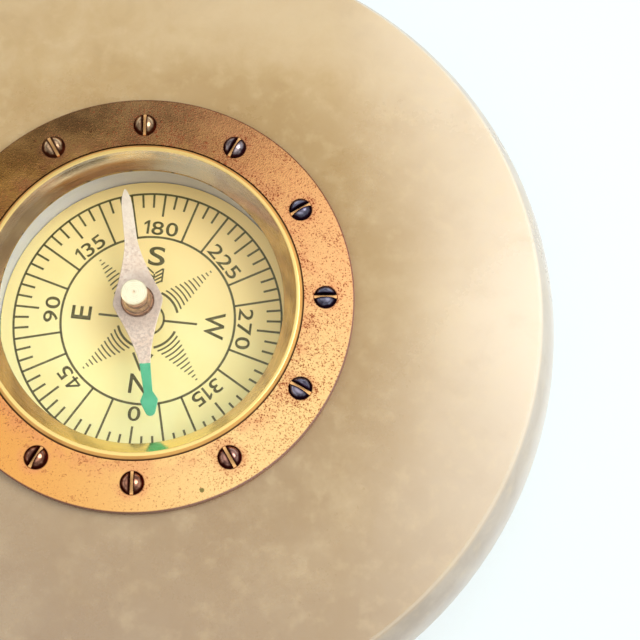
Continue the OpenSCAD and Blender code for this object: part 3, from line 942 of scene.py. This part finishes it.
def lettering(bm, words, size, stretch, weight, b, r):
    """Words with their middle at radius r on bearing b, their tops outward."""
    letters = [outline_of(letter, size, stretch, weight) for letter in words]
    pen = 0.0
    for flat in letters:
        left = min(v.co.x for v in flat.verts)
        for vertex in flat.verts:
            vertex.co.x += pen - left
        pen = max(v.co.x for v in flat.verts) + LETTER_GAP
    ys = [v.co.y for flat in letters for v in flat.verts]
    centre = Vector(((pen - LETTER_GAP) / 2, (min(ys) + max(ys)) / 2, 0))
    x, y = bearing(b)
    turn = math.atan2(y, x) - TURN / 4
    place = (Matrix.Translation((DIAL.x + x * r * MM, DIAL.y + y * r * MM, 0))
             @ Matrix.Rotation(turn, 4, "Z") @ Matrix.Scale(MM, 4)
             @ Matrix.Translation(-centre))
    for flat in letters:
        mesh = bpy.data.meshes.new("letter")
        flat.to_mesh(mesh)
        flat.free()
        mesh.transform(place)
        bm.from_mesh(mesh)
        bpy.data.meshes.remove(mesh)


def dial_print(material):
    bm = bmesh.new()
    ring(bm, RING_IN, LINE)
    ring(bm, RING_OUT, TICK)
    ticks(bm)
    star(bm)
    arrow(bm)
    for b in range(0, 360, 45):
        lettering(bm, str(b), NUMBER_SIZE, NUMBER_STRETCH, NUMBER_WEIGHT, b, NUMBER_R)
    for b, word, stretch in LETTERS:
        lettering(bm, word, LETTER_SIZE, stretch, LETTER_WEIGHT, b, LETTER_R)
    for vertex in bm.verts:
        vertex.co.z = DIAL_TOP + INK_LIFT
    mesh = bpy.data.meshes.new("dial_print")
    bm.to_mesh(mesh)
    bm.free()
    mesh.materials.append(material)
    made = new_object("dial_print", mesh)
    skin = made.modifiers.new("ink", "SOLIDIFY")
    skin.thickness = INK_THICK
    skin.offset = -1
    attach(made, "block")


# ---- stage, light and camera ----------------------------------------------------------------

FLOOR = srgb(240, 250, 252)
FLOOR_R = 6.0
SKY_LIGHT = (1.0, 0.99, 0.97, 1.0)
UP = (0, 0, 1)
DARK_SIDE = Vector((-0.28, 0.50, 0.82)).normalized()


def floor():
    bm = bmesh.new()
    bmesh.ops.create_circle(bm, cap_ends=True, segments=96, radius=FLOOR_R)
    mesh = bpy.data.meshes.new("floor")
    bm.to_mesh(mesh)
    bm.free()
    look = Look("pale_floor", Roughness=0.9)
    look.set("Base Color", look.mix(look.span(look.noise(900, 3), 0.3, 0.7), FLOOR,
                                    srgb(240, 249, 250)))
    glow = look.node("ShaderNodeEmission", {"Color": FLOOR, "Strength": 1.0}).outputs[0]
    seen = look.where_seen(glow, look.shader.outputs[0], 0.5)
    look.join(look.tree.nodes["Material Output"].inputs["Surface"], seen)
    mesh.materials.append(look.material)
    made = new_object("floor", mesh)


def world():
    """Light that grows toward the zenith, with a dark part high at the far left, and a horizon
    that the camera, metal and glass see as pale as the floor."""
    made = bpy.data.worlds.new("studio")
    bpy.context.scene.world = made
    made.use_nodes = True
    sky = Nodes(made.node_tree)
    place = sky.node("ShaderNodeTexCoord").outputs["Generated"]

    def level(toward, low, high, start, end):
        """From start to end by how near a direction comes to another."""
        near = sky.node("ShaderNodeVectorMath", {0: place, 1: toward}, operation="DOT_PRODUCT")
        return sky.span(near.outputs["Value"], low, high, start, end)

    strength = sky.times(level(UP, 0.30, 0.84, 0.36, 1.16),
                         level(DARK_SIDE, 0.955, 0.980, 1.0, 0.08))
    light = sky.tree.nodes["Background"]
    sky.join(light.inputs["Color"], SKY_LIGHT)
    sky.join(light.inputs["Strength"], strength)
    pale = sky.node("ShaderNodeBackground", {"Color": FLOOR}).outputs[0]
    seen = sky.where_seen(pale, light.outputs[0], level(UP, 0.16, 0.34, 1.0, 0.0))
    sky.join(sky.tree.nodes["World Output"].inputs["Surface"], seen)


KEY_AT = Vector((0.22, 0.05, 0.30))
KEY_SIZE = 0.24
KEY_WATTS = 0.60
KEY_COLOUR = (1.0, 0.98, 0.94)


def key_lamp():
    """A round lamp high on the right, aimed at the stone's middle at the plate's height."""
    data = bpy.data.lights.new("key", "AREA")
    data.shape = "DISK"
    data.size = KEY_SIZE
    data.energy = KEY_WATTS
    data.color = KEY_COLOUR
    made = new_object("key", data)
    made.location = KEY_AT
    made.visible_camera = False
    aim = Vector((0, 0, PLATE_TOP)) - KEY_AT
    made.rotation_euler = aim.to_track_quat("-Z", "Y").to_euler()


# the photograph's camera: its place, the way it looks, its right-hand side, and its lens in mm
CAM_AT = Vector((24.472, -43.527, 172.228)) * MM
CAM_LOOK = Vector((-0.01857, 0.27557, -0.96110))
CAM_RIGHT = Vector((0.99457, 0.10354, 0.01047))
LENS = 74.63


def camera():
    data = bpy.data.cameras.new("camera")
    data.lens = LENS
    data.sensor_width = 36
    data.clip_start = 0.005
    data.clip_end = 50
    made = new_object("camera", data)
    back = -CAM_LOOK.normalized()
    up = back.cross(CAM_RIGHT).normalized()
    right = up.cross(back)
    turn = Matrix((right, up, back)).transposed().to_4x4()
    made.matrix_world = Matrix.Translation(CAM_AT) @ turn
    bpy.context.scene.camera = made


# ---- the whole ------------------------------------------------------------------------------

dress("stone_base", onyx())
dress("felt_pad", felt())
dress("setting_cement", soft_fill("setting_cement", srgb(176, 168, 150), srgb(206, 198, 180),
                                  2600, 0.85))
dress("case_cup", case_brass())
dress("bezel_plate", copper())
dress("crystal_rim", polished_brass())
dress("crystal", clear_glass())
rubber = soft_fill("seal_rubber", srgb(28, 28, 28), srgb(52, 50, 48), 3200, 0.7)
dress("rim_seal", rubber)
dress("capsule_seal", rubber)
dress("capsule_cup", white_metal())
dress("dial_card", dial_paper())
dress("cork_pad", soft_fill("cork", srgb(120, 84, 52), srgb(186, 142, 96), 900, 0.8))
dress("pivot_post", polished_brass())
dress("pivot_pin", grey_steel("pin_steel", srgb(150, 150, 154), srgb(196, 196, 200)))
dress("post_washer", case_brass())
dress("post_nut", case_brass())
dress("cap_collar", collar_copper())
dress("cap_jewel", jewel())
softened("needle_blade", needle_steel(), 0.15 * MM, "needle")
softened("bezel_screws", bronze_screw(), 0.07 * MM, "block",
         PLATE_TOP + 0.1 * MM)
dress("needle_cap", cap_brass())
dial_print(dial_ink())
floor()
world()
key_lamp()
camera()

bpy.context.scene.view_settings.view_transform = "Standard"
